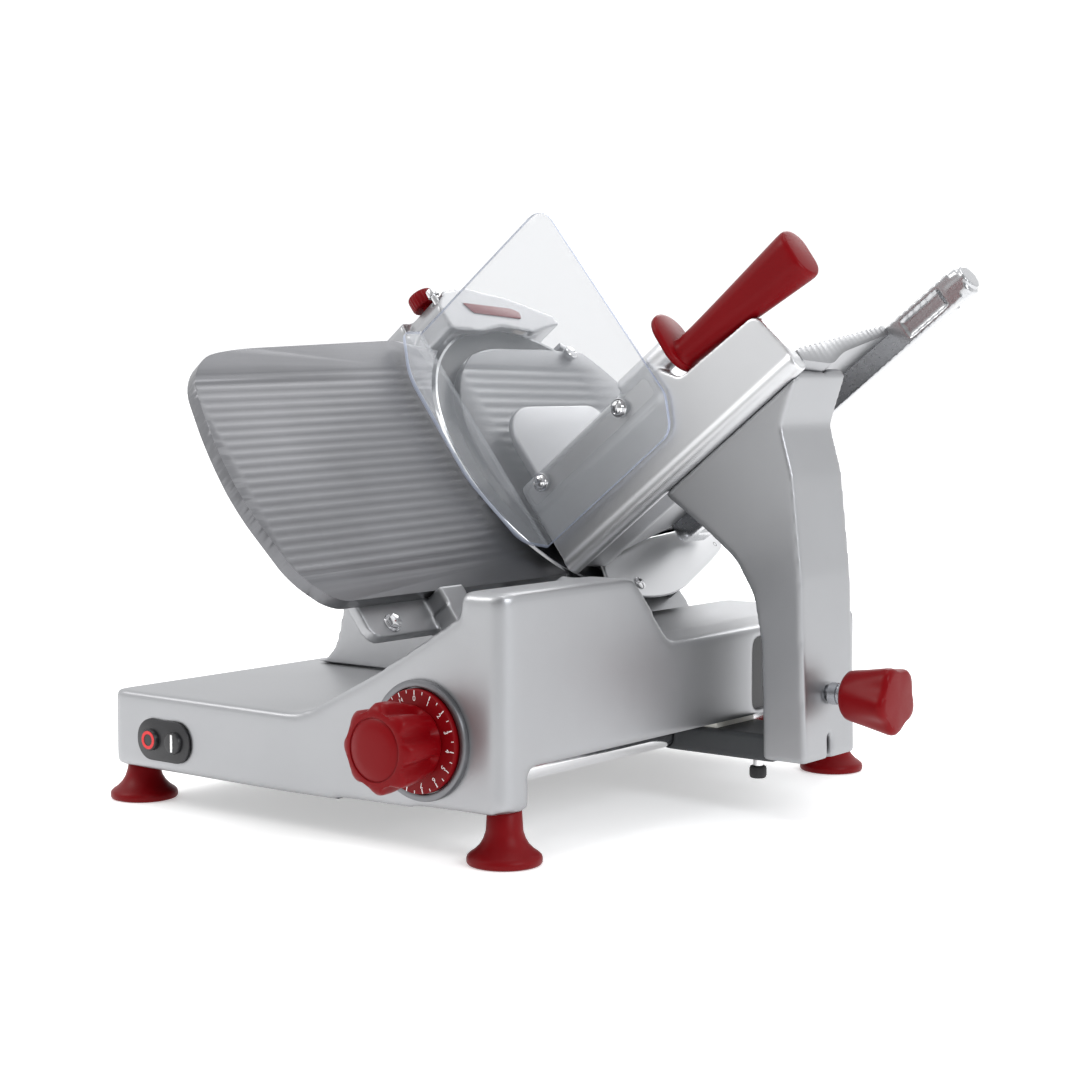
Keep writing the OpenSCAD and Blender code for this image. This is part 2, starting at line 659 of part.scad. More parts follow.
base_casting();
blade_pedestal();
bottom_cover();
side_panel();
foot_front_left();
foot_front_right();
foot_rear_left();
foot_rear_right();
foot_studs();
dial_bezel();
switch_plate();
switch_block();
stop_button();
start_button();
control_box();
cord_gland();
gauge_shaft_rod();
gauge_plate();
gauge_bracket();
gauge_bolts();
follower_pin();
thickness_dial();
thickness_knob();
dial_shaft();
index_cam();
blade();
blade_hub();
blade_pulley();
blade_screws();
hub_bearings();
drive_belt();
motor();
motor_pulley();
ring_guard();
blade_cover();
lower_cover();
cover_tie_rod();
tie_rod_knob();
cover_thumbscrew();
sharpener_body();
sharpener_badge();
sharpener_knob();
sharpener_button();
sharpening_stones();
guide_rod();
support_rail();
carriage_floor();
carriage_fence();
carriage_arm();
slide_block();
glide_pad();
link_bumper();
lock_knob();
finger_guard();
guard_screws();
carriage_handle();
press_rod_bar();
press_rail();
press_hub();
press_plate();
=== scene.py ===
import bpy
import bmesh
from math import cos, pi, radians, sin
from mathutils import Matrix, Vector


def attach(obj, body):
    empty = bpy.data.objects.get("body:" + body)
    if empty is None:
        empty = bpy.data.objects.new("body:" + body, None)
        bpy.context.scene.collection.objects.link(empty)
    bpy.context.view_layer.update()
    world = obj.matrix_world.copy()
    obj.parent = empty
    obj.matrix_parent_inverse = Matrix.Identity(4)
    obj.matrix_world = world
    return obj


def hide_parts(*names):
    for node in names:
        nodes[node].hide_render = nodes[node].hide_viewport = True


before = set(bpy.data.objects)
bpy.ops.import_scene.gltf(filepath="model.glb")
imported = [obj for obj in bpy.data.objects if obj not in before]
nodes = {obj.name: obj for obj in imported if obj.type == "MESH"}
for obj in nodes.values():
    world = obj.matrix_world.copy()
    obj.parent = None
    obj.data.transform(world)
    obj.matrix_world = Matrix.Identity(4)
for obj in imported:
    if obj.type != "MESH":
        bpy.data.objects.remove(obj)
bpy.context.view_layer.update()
print("frame loaded:", len(nodes), "CAD nodes")

# Sizes below are millimetres from the middle of the front right foot
machine = {
    "shift": (0.128, -0.22, 0.0),  # where that foot stands in the shared frame, metres
    "lean": radians(38),  # blade from the vertical
    "hub": (360, 355),  # blade axis, back and up the slope
}
lean = machine["lean"]
benchMatrix = Matrix.Translation(machine["shift"]) @ Matrix.Scale(0.001, 4)
slopeMatrix = benchMatrix @ Matrix((  # local x runs back, y up the slope, z out of the blade
    (0, -sin(lean), cos(lean), 0),
    (1, 0, 0, 0),
    (0, cos(lean), sin(lean), 0),
    (0, 0, 0, 1)))


# ---- camera, floor and light ----
studio = {
    "eye": (1.0755, -1.3811, 0.3536),
    "aim": (85.52, 0, 38.23),
    "lens": 69.7,
    "floorHalf": 30.0,
    "lights": (  # name, place, size, power, colour
        ("keyPanel", (-1.6, -1.7, 2.0), 1.2, 24, (1, 0.99, 0.97)),
        ("sidePanel", (2.4, -0.5, 1.4), 1.0, 26, (0.95, 0.97, 1)),
        ("rearPanel", (-0.6, 2.2, 1.8), 1.4, 22, (1, 1, 1)),
        ("topPanel", (0.2, 0, 2.6), 1.2, 11, (1, 1, 1))),
    "away": (-0.62, 0.78, 0.12),  # towards the bright wall behind the machine
    "air": (0.34, 1.12),  # brightness at the operator's side and at the wall
    "airSpread": (-0.95, 0.35),  # where the first brightness ends and the second begins
    "airColour": (0.985, 0.99, 1, 1),
}


def setStudio():
    camera = bpy.data.objects.new("camera", bpy.data.cameras.new("camera"))
    camera.location = studio["eye"]
    camera.rotation_euler = [radians(a) for a in studio["aim"]]
    camera.data.lens = studio["lens"]
    camera.data.sensor_width = 36
    camera.data.clip_end = 60
    bpy.context.scene.collection.objects.link(camera)
    bpy.context.scene.camera = camera
    for name, place, size, power, colour in studio["lights"]:
        lamp = bpy.data.lights.new(name, "AREA")
        lamp.shape = "DISK"
        lamp.size = size
        lamp.energy = power
        lamp.color = colour
        panel = bpy.data.objects.new(name, lamp)
        panel.location = place
        panel.rotation_euler = (Vector((0, 0, 0.2)) - Vector(place)).to_track_quat("-Z", "Y").to_euler()
        bpy.context.scene.collection.objects.link(panel)
    world = bpy.data.worlds.new("studioAir")
    world.use_nodes = True
    tree = world.node_tree
    way = tree.nodes.new("ShaderNodeTexCoord")
    dot = tree.nodes.new("ShaderNodeVectorMath")
    dot.operation = "DOT_PRODUCT"
    dot.inputs[1].default_value = studio["away"]
    tree.links.new(way.outputs["Generated"], dot.inputs[0])
    level = tree.nodes.new("ShaderNodeMapRange")
    level.interpolation_type = "SMOOTHSTEP"
    level.inputs["From Min"].default_value, level.inputs["From Max"].default_value = studio["airSpread"]
    level.inputs["To Min"].default_value, level.inputs["To Max"].default_value = studio["air"]
    tree.links.new(dot.outputs["Value"], level.inputs["Value"])
    tree.nodes["Background"].inputs["Color"].default_value = studio["airColour"]
    tree.links.new(level.outputs["Result"], tree.nodes["Background"].inputs["Strength"])
    bpy.context.scene.world = world
    bpy.context.scene.view_settings.view_transform = "Standard"


# ---- finishes ----
def newFinish(name, colour, metallic, roughness, **extra):
    material = bpy.data.materials.new(name)
    material.use_nodes = True
    shader = material.node_tree.nodes["Principled BSDF"]
    shader.inputs["Base Color"].default_value = (*colour, 1)
    shader.inputs["Metallic"].default_value = metallic
    shader.inputs["Roughness"].default_value = roughness
    for socket, value in extra.items():
        shader.inputs[socket.replace("_", " ")].default_value = value
    return material


def addGrain(material, scale, bump, spread, patch=9, tint=0.08, stretch=(1, 1, 1)):
    # fine noise drives the bump and roughness, broad noise the colour
    tree = material.node_tree
    shader = tree.nodes["Principled BSDF"]
    colour = shader.inputs["Base Color"].default_value[:]
    roughness = shader.inputs["Roughness"].default_value
    place = tree.nodes.new("ShaderNodeTexCoord")
    mapping = tree.nodes.new("ShaderNodeMapping")
    mapping.inputs["Scale"].default_value = stretch
    tree.links.new(place.outputs["Object"], mapping.inputs["Vector"])
    fine = tree.nodes.new("ShaderNodeTexNoise")
    fine.inputs["Scale"].default_value = scale
    fine.inputs["Detail"].default_value = 3
    tree.links.new(mapping.outputs["Vector"], fine.inputs["Vector"])
    broad = tree.nodes.new("ShaderNodeTexNoise")
    broad.inputs["Scale"].default_value = patch
    broad.inputs["Detail"].default_value = 4
    tree.links.new(place.outputs["Object"], broad.inputs["Vector"])
    rough = tree.nodes.new("ShaderNodeMapRange")
    rough.inputs["To Min"].default_value = max(0.01, roughness - spread)
    rough.inputs["To Max"].default_value = roughness + spread
    tree.links.new(fine.outputs["Fac"], rough.inputs["Value"])
    tree.links.new(rough.outputs["Result"], shader.inputs["Roughness"])
    ramp = tree.nodes.new("ShaderNodeValToRGB")
    ramp.color_ramp.elements[0].position = 0.3
    ramp.color_ramp.elements[0].color = [c * (1 - tint) for c in colour[:3]] + [1]
    ramp.color_ramp.elements[1].position = 0.7
    ramp.color_ramp.elements[1].color = [min(1, c * (1 + tint)) for c in colour[:3]] + [1]
    tree.links.new(broad.outputs["Fac"], ramp.inputs["Fac"])
    tree.links.new(ramp.outputs["Color"], shader.inputs["Base Color"])
    relief = tree.nodes.new("ShaderNodeBump")
    relief.inputs["Strength"].default_value = 0.5
    relief.inputs["Distance"].default_value = bump
    tree.links.new(fine.outputs["Fac"], relief.inputs["Height"])
    tree.links.new(relief.outputs["Normal"], shader.inputs["Normal"])
    return material


castAluminium = addGrain(newFinish("castAluminium", (0.375, 0.379, 0.39), 1, 0.42), 1400, 0.00012, 0.05, tint=0.03)
# a lighter copy of the cast aluminium: its extra brightness is a painted highlight
castingPaintedHighlight = addGrain(newFinish("castingPaintedHighlight", (0.66, 0.665, 0.675), 1, 0.4), 900, 0.00008, 0.06, tint=0.03)
brushed = (1, 0.04, 1)  # noise drawn out along the machine
satinPlate = addGrain(newFinish("satinPlate", (0.185, 0.187, 0.196), 1, 0.4), 500, 0.00005, 0.05, stretch=brushed)
ribbedSteel = addGrain(newFinish("ribbedSteel", (0.165, 0.168, 0.175), 1, 0.42), 500, 0.00005, 0.05, stretch=brushed)
polishedSteel = addGrain(newFinish("polishedSteel", (0.72, 0.72, 0.73), 1, 0.13), 260, 0.00003, 0.04, tint=0.03)
satinSteel = addGrain(newFinish("satinSteel", (0.50, 0.505, 0.515), 1, 0.26), 400, 0.00003, 0.05, tint=0.03)
turnedSteel = addGrain(newFinish("turnedSteel", (0.52, 0.53, 0.55), 1, 0.24), 700, 0.00005, 0.06)
bladeSteel = addGrain(newFinish("bladeSteel", (0.62, 0.63, 0.64), 1, 0.14), 600, 0.00003, 0.04, tint=0.03)
# near-black paint: a painted dark reflection on the blade bevel and painted shade in a hole of the lower shell
paintedDarkReflectionAndShade = addGrain(newFinish("paintedDarkReflectionAndShade", (0.012, 0.013, 0.015), 0, 0.3), 400, 0.00003, 0.05)
redPlastic = addGrain(newFinish("redPlastic", (0.165, 0.001, 0.003), 0, 0.36, Specular_IOR_Level=0.12),
                      320, 0.00005, 0.05, tint=0.06)
redRubber = addGrain(newFinish("redRubber", (0.165, 0.001, 0.003), 0, 0.42, Specular_IOR_Level=0.14),
                     420, 0.0001, 0.06)
blackPlastic = addGrain(newFinish("blackPlastic", (0.012, 0.012, 0.014), 0, 0.4), 600, 0.00008, 0.06)
blackRubber = addGrain(newFinish("blackRubber", (0.016, 0.016, 0.017), 0, 0.6), 500, 0.00015, 0.08)
darkCasting = addGrain(newFinish("darkCasting", (0.055, 0.058, 0.062), 0.4, 0.48), 800, 0.0002, 0.08)
whitePaint = addGrain(newFinish("whitePaint", (0.88, 0.88, 0.87), 0, 0.4), 500, 0.00003, 0.05, tint=0.02)
redPaint = addGrain(newFinish("redPaint", (0.68, 0.008, 0.012), 0, 0.4), 500, 0.00003, 0.05)
turnedBronze = addGrain(newFinish("turnedBronze", (0.55, 0.38, 0.17), 1, 0.3), 700, 0.00005, 0.06)
grindStone = addGrain(newFinish("grindStone", (0.42, 0.38, 0.34), 0, 0.85), 1500, 0.0004, 0.05, tint=0.15)
nylon = addGrain(newFinish("nylon", (0.78, 0.77, 0.70), 0, 0.45), 500, 0.00006, 0.05)
clearSheet = addGrain(newFinish("clearSheet", (0.5, 0.52, 0.55), 0, 0.04, Alpha=0.2),
                      60, 0.000004, 0.01, tint=0.005)
clearRim = addGrain(newFinish("clearRim", (0.42, 0.47, 0.6), 0, 0.25, Alpha=0.75),
                    200, 0.00001, 0.05, tint=0.05)
paleFloor = addGrain(newFinish("paleFloor", (0.9, 0.9, 0.9), 0, 0.6, Emission_Color=(1, 1, 1, 1),
                               Emission_Strength=0.42), 30, 0.0001, 0.05, tint=0.01)
print("finishes made")


# ---- shaping helpers ----
def roundedFace(bm, corners, height=0.0):
    # corners are x, y and how far the rounding reaches along the sides
    verts = [bm.verts.new((c[0], c[1], height)) for c in corners]
    bm.faces.new(verts)
    for vert, corner in zip(verts, corners):
        if len(corner) > 2 and corner[2] > 0:
            bmesh.ops.bevel(bm, geom=[vert], offset=corner[2], offset_type="OFFSET", segments=9,
                            profile=0.5, affect="VERTICES", material=-1)
    return bm.faces[:]


def raiseFaces(bm, faces, height):
    grown = bmesh.ops.extrude_face_region(bm, geom=faces)["geom"]
    bmesh.ops.translate(bm, verts=[g for g in grown if isinstance(g, bmesh.types.BMVert)], vec=(0, 0, height))
    bmesh.ops.recalc_face_normals(bm, faces=bm.faces)


def easeEdges(bm, offset, segments=3, limit=40, keep=None):
    edges = [e for e in bm.edges if e.is_manifold and abs(e.calc_face_angle(0)) > radians(limit)
             and (keep is None or keep(e))]
    bmesh.ops.bevel(bm, geom=edges, offset=offset, offset_type="OFFSET", segments=segments, profile=0.5,
                    affect="EDGES", clamp_overlap=True, material=-1)


def roundedSlab(corners, low, high, edge=1.0, segments=3):
    bm = bmesh.new()
    raiseFaces(bm, roundedFace(bm, corners, low), high - low)
    if edge:
        easeEdges(bm, edge, segments)
    return bm


def cutAcross(bm, place, direction):
    bmesh.ops.bisect_plane(bm, geom=bm.verts[:] + bm.edges[:] + bm.faces[:], dist=1e-4,
                           plane_co=place, plane_no=direction)


def fluteTop(bm, top, span, reach, pitch, depth, tilt=0.0):
    # ribs across a slab, one after another along y: it is cut every quarter pitch, and the cuts sink along a cosine
    count = int((span[1] - span[0]) / pitch) * 4
    for i in range(count + 1):
        cutAcross(bm, (reach[0], span[0] + i * pitch / 4, 0), (-tilt, 1, 0))
    for edge in (reach[0], reach[0] + 4, reach[1] - 4, reach[1]):
        cutAcross(bm, (edge, 0, 0), (1, 0, 0))
    for vert in bm.verts:
        along = vert.co.y - tilt * (vert.co.x - reach[0])
        if abs(vert.co.z - top) < 0.05 and reach[0] + 2 < vert.co.x < reach[1] - 2 \
                and span[0] < along < span[0] + count * pitch / 4:
            vert.co.z -= depth * (0.5 - 0.5 * cos(2 * pi * (along - span[0]) / pitch))


def lathe(profile, steps=64, angle=2 * pi, start=0.0):
    # profile points are radius and height, turned about local z
    bm = bmesh.new()
    verts = [bm.verts.new((r * cos(start), r * sin(start), z)) for r, z in profile]
    edges = [bm.edges.new(pair) for pair in zip(verts, verts[1:])]
    bmesh.ops.spin(bm, geom=verts + edges, cent=(0, 0, 0), axis=(0, 0, 1), angle=angle, steps=steps,
                   use_merge=abs(angle - 2 * pi) < 1e-6)
    bmesh.ops.remove_doubles(bm, verts=bm.verts, dist=1e-4)
    bmesh.ops.recalc_face_normals(bm, faces=bm.faces)
    return bm


def joined(first, *others):
    # adds the meshes of other bmeshes to the first
    for other in others:
        carrier = bpy.data.meshes.new("carrier")
        other.to_mesh(carrier)
        other.free()
        first.from_mesh(carrier)
        bpy.data.meshes.remove(carrier)
    return first


def moved(bm, matrix):
    bm.transform(matrix)
    return bm


def paint(bm, index, test=lambda face: True):
    for face in bm.faces:
        if test(face):
            face.material_index = index
    return bm


def makePiece(name, bm, matrix, body, finishes, replaced=(), sharp=38):
    bm.transform(matrix)
    bmesh.ops.remove_doubles(bm, verts=bm.verts, dist=1e-7)
    bmesh.ops.recalc_face_normals(bm, faces=bm.faces)
    mesh = bpy.data.meshes.new(name)
    bm.to_mesh(mesh)
    bm.free()
    mesh.shade_smooth()
    mesh.set_sharp_from_angle(angle=radians(sharp))
    piece = bpy.data.objects.new(name, mesh)
    bpy.context.scene.collection.objects.link(piece)
    for finish in finishes:
        mesh.materials.append(finish)
    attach(piece, body)
    if replaced:
        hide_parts(*replaced)
    return piece


def castFrom(name, node, body, slotName, finish, voxel, rounds):
    # a foundry-soft version of a CAD node: one skin, with its edges worn round
    mesh = nodes[node].data.copy()
    bm = bmesh.new()
    bm.from_mesh(mesh)
    bmesh.ops.remove_doubles(bm, verts=bm.verts, dist=1e-6)
    bm.to_mesh(mesh)
    bm.free()
    rough = bpy.data.objects.new(name + "Rough", mesh)
    bpy.context.scene.collection.objects.link(rough)
    skin = rough.modifiers.new("skin", "REMESH")
    skin.mode = "VOXEL"
    skin.voxel_size = voxel
    skin.use_smooth_shade = True
    ease = rough.modifiers.new("ease", "SMOOTH")
    ease.factor = 0.5
    ease.iterations = rounds
    bpy.context.view_layer.update()
    done = bpy.data.meshes.new_from_object(rough.evaluated_get(bpy.context.evaluated_depsgraph_get()))
    bpy.data.objects.remove(rough)
    done.name = name
    done.materials.clear()
    done.materials.append(finish)
    done.shade_smooth()
    piece = bpy.data.objects.new(name, done)
    bpy.context.scene.collection.objects.link(piece)
    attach(piece, body)
    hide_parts(node)
    print(name, len(done.polygons), "faces")
    return piece


def onSlope(y, u, w, turn=Matrix()):
    return slopeMatrix @ Matrix.Translation((y, u, w)) @ turn


def onBench(x, y, z, turn=Matrix()):
    return benchMatrix @ Matrix.Translation((x, y, z)) @ turn


def hubArc(radius, first, last, step):
    # points round the blade axis, in slope millimetres
    y, u = machine["hub"]
    return [(y + radius * cos(radians(a)), u + radius * sin(radians(a))) for a in range(first, last, step)]


facingFront = Matrix.Rotation(radians(90), 4, "X")  # bench to operator: local z points at the operator
facingAcross = Matrix(((0, 0, -1, 0), (0, 1, 0, 0), (1, 0, 0, 0), (0, 0, 0, 1)))  # the same on the slope


# ---- castings ----
castings = {  # node, body, slot, finish, voxel in metres, rounds of easing
    "castBase": ("base_casting", "base", "cast", castAluminium, 0.0036, 13),
    "castPedestal": ("blade_pedestal", "base", "cast", castAluminium, 0.003, 6),
    "carriageArm": ("carriage_arm", "carriage", "cast", castAluminium, 0.0019, 10),
    # the fence gets the lighter cast aluminium, a painted highlight
    "carriageFence": ("carriage_fence", "carriage", "cast", castingPaintedHighlight, 0.0014, 6),
    "sharpenerBody": ("sharpener_body", "base", "cast", castAluminium, 0.0014, 8),
    "gaugeBracket": ("gauge_bracket", "gauge", "cast", castAluminium, 0.0014, 7),
    "pressRail": ("press_rail", "carriage", "polished", satinSteel, 0.0013, 5),
    "sliderBlock": ("slide_block", "carriage_slider", "dark_metal", darkCasting, 0.0018, 4),
}


def makeCastings():
    for name, settings in castings.items():
        castFrom(name, *settings)


# ---- feet ----
foot = {
    "profile": [(0, 0), (25, 0), (27, 0.6), (27.9, 2), (28, 4.5), (27.4, 6.4), (25.5, 8.2), (22, 10.6),
                (18.2, 14.5), (15.6, 19), (13.8, 24.5)],
    "neck": 12.9,
    "places": {  # x, y and height
        "foot_front_left": (-391.6, 0, 30), "foot_front_right": (0, 0, 40),
        "foot_rear_left": (-391.6, 466, 30), "foot_rear_right": (0, 466, 40)},
}


def makeFeet():
    for node, (x, y, high) in foot["places"].items():
        neck = [(foot["neck"], high - 1), (12, high), (0, high)]
        makePiece(node.replace("_", ""), lathe(foot["profile"] + neck, 72), onBench(x, y, 0), "base",
                  [redRubber], (node,), 50)


# ---- gauge plate ----
gaugePlate = {
    "corners": [(265.2, 233.6), (250, 233), (-22, 233, 14), (-48, 262, 14), (-63, 330, 22), (-60, 385, 22),
                (-44, 461, 32), (4, 476, 38), (215, 489, 4)],
    "bladeGap": 154,  # radius of the edge that follows the blade
    "low": -11.8,
    "thick": 11.4,
    "ribs": {"span": (246, 455), "reach": (-50, 200), "pitch": 9, "depth": 0.6, "tilt": 0.03},
}


def makeGaugePlate():
    bm = bmesh.new()
    outline = gaugePlate["corners"] + hubArc(gaugePlate["bladeGap"], 127, 232, 4)
    raiseFaces(bm, roundedFace(bm, outline, gaugePlate["low"]), gaugePlate["thick"])
    easeEdges(bm, 3.2, 4)
    fluteTop(bm, gaugePlate["low"] + gaugePlate["thick"], **gaugePlate["ribs"])
    makePiece("gaugePlate", bm, slopeMatrix, "gauge", [satinPlate], ("gauge_plate",), 30)


# ---- blade and ring guard ----
blade = {
    "profile": [(19, -6), (141, -6), (149.4, -0.9), (149.9, -0.3), (149.6, -0.05), (147.4, -0.5), (143, -1.0),
                (129, -2.2), (128, -2.5), (19, -2.5), (19, -6)],
    "dark": (120, 147.2),  # radii of the bevel ring painted near-black as a dark reflection
}


def makeBlade():
    inner, outer = blade["dark"]
    disc = lathe(blade["profile"], 180)
    # the bevel ring between these radii is painted near-black, a painted dark reflection
    paint(disc, 1, lambda f: inner < f.calc_center_median().xy.length < outer and f.calc_center_median().z > -2.45)
    makePiece("bladeDisc", disc, onSlope(*machine["hub"], 0), "blade_assembly",
              [bladeSteel, paintedDarkReflectionAndShade], ("blade",), 20)


ringGuard = {
    "profile": [(62, -17), (156.5, -17), (158.4, -16.3), (159, -14.6), (159, 3), (158.6, 4.1), (157.5, 4.5),
                (153.5, 4.5), (152.4, 4.1), (152, 3), (152, -13), (62, -13), (62, -17)],
    "sweep": radians(128),
    "start": radians(-72),
}


def makeRingGuard():
    guard = lathe(ringGuard["profile"], 96, ringGuard["sweep"], ringGuard["start"])
    bmesh.ops.holes_fill(guard, edges=[e for e in guard.edges if e.is_boundary], sides=40)
    makePiece("ringGuard", guard, onSlope(*machine["hub"], 0), "base", [castAluminium], ("ring_guard",), 35)


# ---- blade covers ----
bladeCover = {
    "frontRadius": 128,
    "rearRadius": 159,
    "foot": (291, 250.4),
    "top": [(342, 475, 6), (410, 475, 6)],
    "low": 4.5,
    "thick": 3.2,
    "ribs": {"span": (270, 465), "reach": (272, 446), "pitch": 11, "depth": 0.9, "tilt": -0.02},
}


def makeBladeCover():
    cover = bmesh.new()
    outline = [bladeCover["foot"]] + hubArc(bladeCover["frontRadius"], 238, 116, -4) + bladeCover["top"]
    outline += hubArc(bladeCover["rearRadius"], 47, -35, -4)
    raiseFaces(cover, roundedFace(cover, outline, bladeCover["low"]), bladeCover["thick"])
    easeEdges(cover, 1.2, 3)
    fluteTop(cover, bladeCover["low"] + bladeCover["thick"], **bladeCover["ribs"])
    makePiece("bladeCover", cover, slopeMatrix, "base", [ribbedSteel], ("blade_cover",), 30)


lowerShell = {
    "radius": 160,
    "tail": [(440, 213.6), (463, 222), (484, 230.5), (499.5, 238, 5), (500.5, 257, 5), (470, 263, 4), (322, 251, 3),
             (306, 240, 3)],
    "low": 4.5,
    "thick": 4.5,
    # a shallow near-black disc: painted shade standing in for a hole
    "pin": [(0, 8.6), (2.3, 8.6), (2.3, 9.03), (1.9, 9.06), (1.6, 8.9), (0, 8.9)],
    "pinAt": (488, 241, 0),
    "screwAt": (339, 210, 9),
}


def makeLowerShell():
    shell = bmesh.new()
    outline = hubArc(lowerShell["radius"], 246, 293, 3) + lowerShell["tail"]
    raiseFaces(shell, roundedFace(shell, outline, lowerShell["low"]), lowerShell["thick"])
    easeEdges(shell, 2.1, 4)
    # the near-black disc paints the shade of a hole
    pin = paint(moved(lathe(lowerShell["pin"], 32), Matrix.Translation(lowerShell["pinAt"])), 1)
    # the shell gets the lighter cast aluminium, a painted highlight
    makePiece("lowerShell", joined(shell, pin), slopeMatrix, "base", [castingPaintedHighlight, paintedDarkReflectionAndShade],
              ("lower_cover",), 40)
    makeScrew("shellScrew", onSlope(*lowerShell["screwAt"]), "base", 6, 2.6, cross=True)


thumbscrew = {
    "profile": [(0, 2), (3.2, 2), (3.2, 4), (6.2, 4), (6.8, 4.6), (6.8, 8.6), (6.2, 9.4), (5, 9.9), (0, 10)],
    "place": (443, 468, 4.5),
}


def makeThumbscrew():
    thumb = lathe(thumbscrew["profile"], 40)
    slotCut(thumb, 6.8, 9.9, 1.6, 1.4)
    makePiece("coverThumbscrew", thumb, onSlope(*thumbscrew["place"]), "cover_screw", [polishedSteel],
              ("cover_thumbscrew",), 35)


def slotCut(bm, radius, top, width, depth, cross=False):
    # sinks a screwdriver slot into the head's top
    for turn in ((0, 90) if cross else (0,)):
        side = Matrix.Rotation(radians(turn), 3, "Z") @ Vector((0, 1, 0))
        for offset in (-width / 2 - 0.15, -width / 2, width / 2, width / 2 + 0.15):
            cutAcross(bm, side * offset, side)
    for vert in bm.verts:
        x, y = abs(vert.co.x), abs(vert.co.y)
        inSlot = y < width / 2 + 0.02 or (cross and x < width / 2 + 0.02)
        if inSlot and vert.co.z > top - depth and vert.co.xy.length < radius * 0.97:
            vert.co.z -= depth


def makeScrew(name, matrix, body, radius, high, replaced=(), cross=False, washer=0):
    profile = [(0, 0), (radius * 0.94, 0), (radius, high * 0.25), (radius * 0.97, high * 0.5),
               (radius * 0.8, high * 0.8), (radius * 0.45, high * 0.97), (radius * 0.2, high), (0, high)]
    head = lathe(profile, 48)
    slotCut(head, radius, high, radius * 0.26, high * 0.45, cross)
    if washer:
        joined(head, lathe([(0, -1.4), (washer, -1.4), (washer, -0.3), (washer - 0.4, 0), (0, 0)], 48))
    makePiece(name, head, matrix, body, [polishedSteel], replaced, 32)


# ---- clear finger guard ----
guardSheet = {
    "thick": 4,
    "front": [(9, 256), (172, 256, 10), (187, 285, 5), (184, 488.5, 17), (9, 488.5)],
    "flap": [(240.4, 256), (240.4, 489), (218, 489, 7), (192, 440, 14), (190, 330, 10), (212, 262, 12)],
    "bend": (244, 240.4, 9),  # outer face of the front, inner face of the front, foot of the flap
    "screws": {"guardScrewLow": (40, -20), "guardScrewHigh": (144, 35)},  # place along the carriage, turn
}


def guardSide(outline, low, fold):
    bm = bmesh.new()
    raiseFaces(bm, roundedFace(bm, outline, low), guardSheet["thick"])
    easeEdges(bm, 0.6, 2, keep=lambda e: not all(abs(v.co.x - fold) < 0.1 for v in e.verts))
    bm.normal_update()
    return paint(bm, 1, lambda f: abs(f.normal.z) < 0.75 and abs(f.calc_center_median().x - fold) > 0.5)


def makeFingerGuard():
    outer, inner, foldFoot = guardSheet["bend"]
    front = moved(guardSide(guardSheet["front"], 0, foldFoot), Matrix.Translation((outer, 0, 0)) @ facingAcross)
    flap = guardSide(guardSheet["flap"], foldFoot, inner)
    makePiece("fingerGuard", joined(front, flap), slopeMatrix, "carriage", [clearSheet, clearRim],
              ("finger_guard",), 30)
    for name, (w, degrees) in guardSheet["screws"].items():
        turn = facingAcross @ Matrix.Rotation(radians(degrees), 4, "Z")
        makeScrew(name, onSlope(238.6, 303, w, turn), "carriage", 6.2, 4.0,
                  ("guard_screws",) if name == "guardScrewLow" else (), washer=8)


# ---- push handle ----
handle = {
    "seat": (256, 304.5, 212),
    "tilt": radians(2.4),
    "flangeShift": 12.5,  # the flange sits higher than the grip
    # half width, half height, height along the grip
    "flange": [(18.4, 26.4, -3.5), (19.6, 27.6, -2.6), (20, 28, -1), (20, 28, 0.8), (19.4, 27.4, 2.2), (17.6, 25.6, 3)],
    "grip": [(12.6, 14, 3), (11.9, 13, 4.6), (11.6, 12.6, 8), (11.9, 13.4, 24), (12.6, 15.2, 48), (13.5, 17.6, 76),
             (14.6, 20.1, 104), (15.6, 22.2, 128), (15.7, 22.4, 132.5), (15.2, 21.8, 135.4), (14, 20.6, 136.7),
             (12.6, 19.2, 137)],
}


def ovalBody(rings, shift):
    # stadium-shaped rings bridged one to the next
    bm = bmesh.new()
    loops = []
    for half, tall, high in rings:
        arch = [(half * cos(pi * i / 28), half * sin(pi * i / 28) + tall - half) for i in range(29)]
        arch += [(-x, -y) for x, y in arch]
        verts = [bm.verts.new((x, y + shift, high)) for x, y in arch]
        loops.append([bm.edges.new(pair) for pair in zip(verts, verts[1:] + verts[:1])])
    for low, top in zip(loops, loops[1:]):
        bmesh.ops.bridge_loops(bm, edges=low + top)
    bmesh.ops.holes_fill(bm, edges=loops[0] + loops[-1], sides=0)
    return bm


def makeHandle():
    body = joined(ovalBody(handle["grip"], 0), ovalBody(handle["flange"], handle["flangeShift"]))
    makePiece("handleGrip", body, onSlope(*handle["seat"], Matrix.Rotation(handle["tilt"], 4, "X")), "carriage",
              [redPlastic], ("carriage_handle",), 50)


# ---- tray floor ----
trayFloor = {
    "outline": [(258, 232), (300, 228.4, 6), (330, 240.8, 8), (420, 259.8, 4), (427.8, 261.4, 2), (427.8, 270.6, 2),
                (425, 270.8, 2), (422, 268.3, 1.5), (258, 242.2, 1.5)],
    "along": (14, 284),  # start and length
    "rise": 0.1584,  # the floor climbs towards the back
    "ribs": {"first": 264, "pitch": 9, "count": 17, "depth": 1.7},
}


